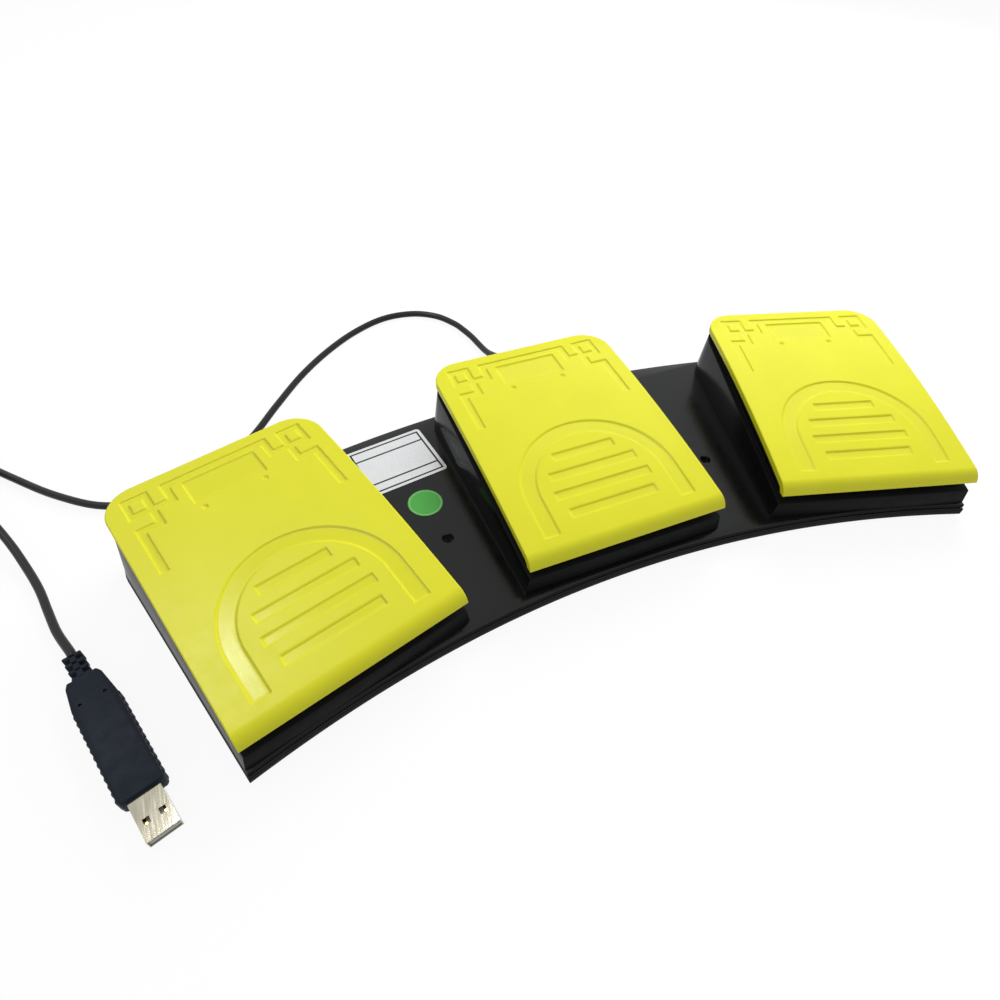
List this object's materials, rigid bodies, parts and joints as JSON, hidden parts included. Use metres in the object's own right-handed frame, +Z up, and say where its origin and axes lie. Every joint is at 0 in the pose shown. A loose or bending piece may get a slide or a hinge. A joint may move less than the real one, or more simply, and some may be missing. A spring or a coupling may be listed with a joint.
{
  "type": "usb foot pedal switch",
  "caption": "Fan-shaped black base with yellow sprung foot pedals on rear hinges, each pressing a lever switch, and a coiled lead that ends in a USB-A plug.",
  "frame": {"origin": "on the floor under the middle of the base's box", "axes": "+X to the user's right along the fan, +Y to the rear where the hinges are, +Z up"},
  "size_m": [0.5462, 0.2795, 0.037],
  "materials": {
    "black_plastic": "satin moulded",
    "yellow_plastic": "satin moulded",
    "black_rubber": "matt",
    "steel": "plated",
    "switch_plastic": "moulded",
    "red_plastic": "moulded",
    "board_green": "lacquered",
    "lead_grey": "matt",
    "cord_black": "satin",
    "plug_black": "satin moulded",
    "nickel": "satin nickel plate",
    "white_plastic": "moulded",
    "gold": "gold plate",
    "label_silver": "satin foil",
    "sticker_green": "printed film"
  },
  "bodies": {
    "base": {"bottom_cover": "black_plastic", "deck_plate": "black_plastic", "pedal_box_left": "black_plastic", "pedal_box_centre": "black_plastic", "pedal_box_right": "black_plastic", "rubber_feet": "black_rubber", "stop_pads": "black_rubber", "cover_screws": "steel", "board_screws": "steel", "hinge_pin_left": "steel", "hinge_pin_centre": "steel", "hinge_pin_right": "steel", "return_spring_left": "steel", "return_spring_centre": "steel", "return_spring_right": "steel", "switch_body_left": "switch_plastic", "switch_body_centre": "switch_plastic", "switch_body_right": "switch_plastic", "circuit_board": "board_green", "wiring": "lead_grey", "cord_grommet": "cord_black", "cord_from_pedal": "cord_black", "cord_coil": "cord_black", "coil_tie": "cord_black", "cord_to_plug": "cord_black", "plug_relief": "cord_black", "plug_overmould": "plug_black", "plug_shell": "nickel", "plug_tongue": "white_plastic", "plug_contacts": "gold", "spec_label": "label_silver", "round_sticker": "sticker_green"},
    "pedal_left_body": {"pedal_left": "yellow_plastic", "pedal_frame_left": "black_plastic"},
    "lever_left": {"switch_lever_left": "steel"},
    "button_left": {"switch_button_left": "red_plastic"},
    "pedal_centre_body": {"pedal_centre": "yellow_plastic", "pedal_frame_centre": "black_plastic"},
    "lever_centre": {"switch_lever_centre": "steel"},
    "button_centre": {"switch_button_centre": "red_plastic"},
    "pedal_right_body": {"pedal_right": "yellow_plastic", "pedal_frame_right": "black_plastic"},
    "lever_right": {"switch_lever_right": "steel"},
    "button_right": {"switch_button_right": "red_plastic"}
  },
  "joints": [
    {"name": "press_left", "type": "hinge", "parent": "base", "child": "pedal_left_body", "pos_m": [-0.16049, 0.04728, 0.027], "axis": [0.9605, 0.2782, 0], "range_deg": [0, 2.4], "stiffness_Nm_per_rad": 14, "springref_deg": -1.64, "deforming": ["return_spring_left"]},
    {"name": "lever_turn_left", "type": "hinge", "parent": "base", "child": "lever_left", "pos_m": [-0.14853, 0.00598, 0.0192], "axis": [0.9605, 0.2782, 0], "range_deg": [0, 8.51]},
    {"name": "button_push_left", "type": "slide", "parent": "base", "child": "button_left", "axis": [0, 0, -1], "range_m": [0, 0.0005932]},
    {"name": "press_centre", "type": "hinge", "parent": "base", "child": "pedal_centre_body", "pos_m": [0, 0.07005, 0.027], "axis": [1, 0, 0], "range_deg": [0, 2.4], "stiffness_Nm_per_rad": 14, "springref_deg": -1.64, "deforming": ["return_spring_centre"]},
    {"name": "lever_turn_centre", "type": "hinge", "parent": "base", "child": "lever_centre", "pos_m": [0, 0.02705, 0.0192], "axis": [1, 0, 0], "range_deg": [0, 8.51]},
    {"name": "button_push_centre", "type": "slide", "parent": "base", "child": "button_centre", "axis": [0, 0, -1], "range_m": [0, 0.0005932]},
    {"name": "press_right", "type": "hinge", "parent": "base", "child": "pedal_right_body", "pos_m": [0.16049, 0.04728, 0.027], "axis": [0.9605, -0.2782, 0], "range_deg": [0, 2.4], "stiffness_Nm_per_rad": 14, "springref_deg": -1.64, "deforming": ["return_spring_right"]},
    {"name": "lever_turn_right", "type": "hinge", "parent": "base", "child": "lever_right", "pos_m": [0.14853, 0.00598, 0.0192], "axis": [0.9605, -0.2782, 0], "range_deg": [0, 8.51]},
    {"name": "button_push_right", "type": "slide", "parent": "base", "child": "button_right", "axis": [0, 0, -1], "range_m": [0, 0.0005932]}
  ],
  "couplings": [
    {"joint": "lever_turn_left", "follows": "press_left", "ratio": 3.5413},
    {"joint": "button_push_left", "follows": "press_left", "m_per_rad": 0.014113},
    {"joint": "lever_turn_centre", "follows": "press_centre", "ratio": 3.5413},
    {"joint": "button_push_centre", "follows": "press_centre", "m_per_rad": 0.014113},
    {"joint": "lever_turn_right", "follows": "press_right", "ratio": 3.5413},
    {"joint": "button_push_right", "follows": "press_right", "m_per_rad": 0.014113}
  ]
}
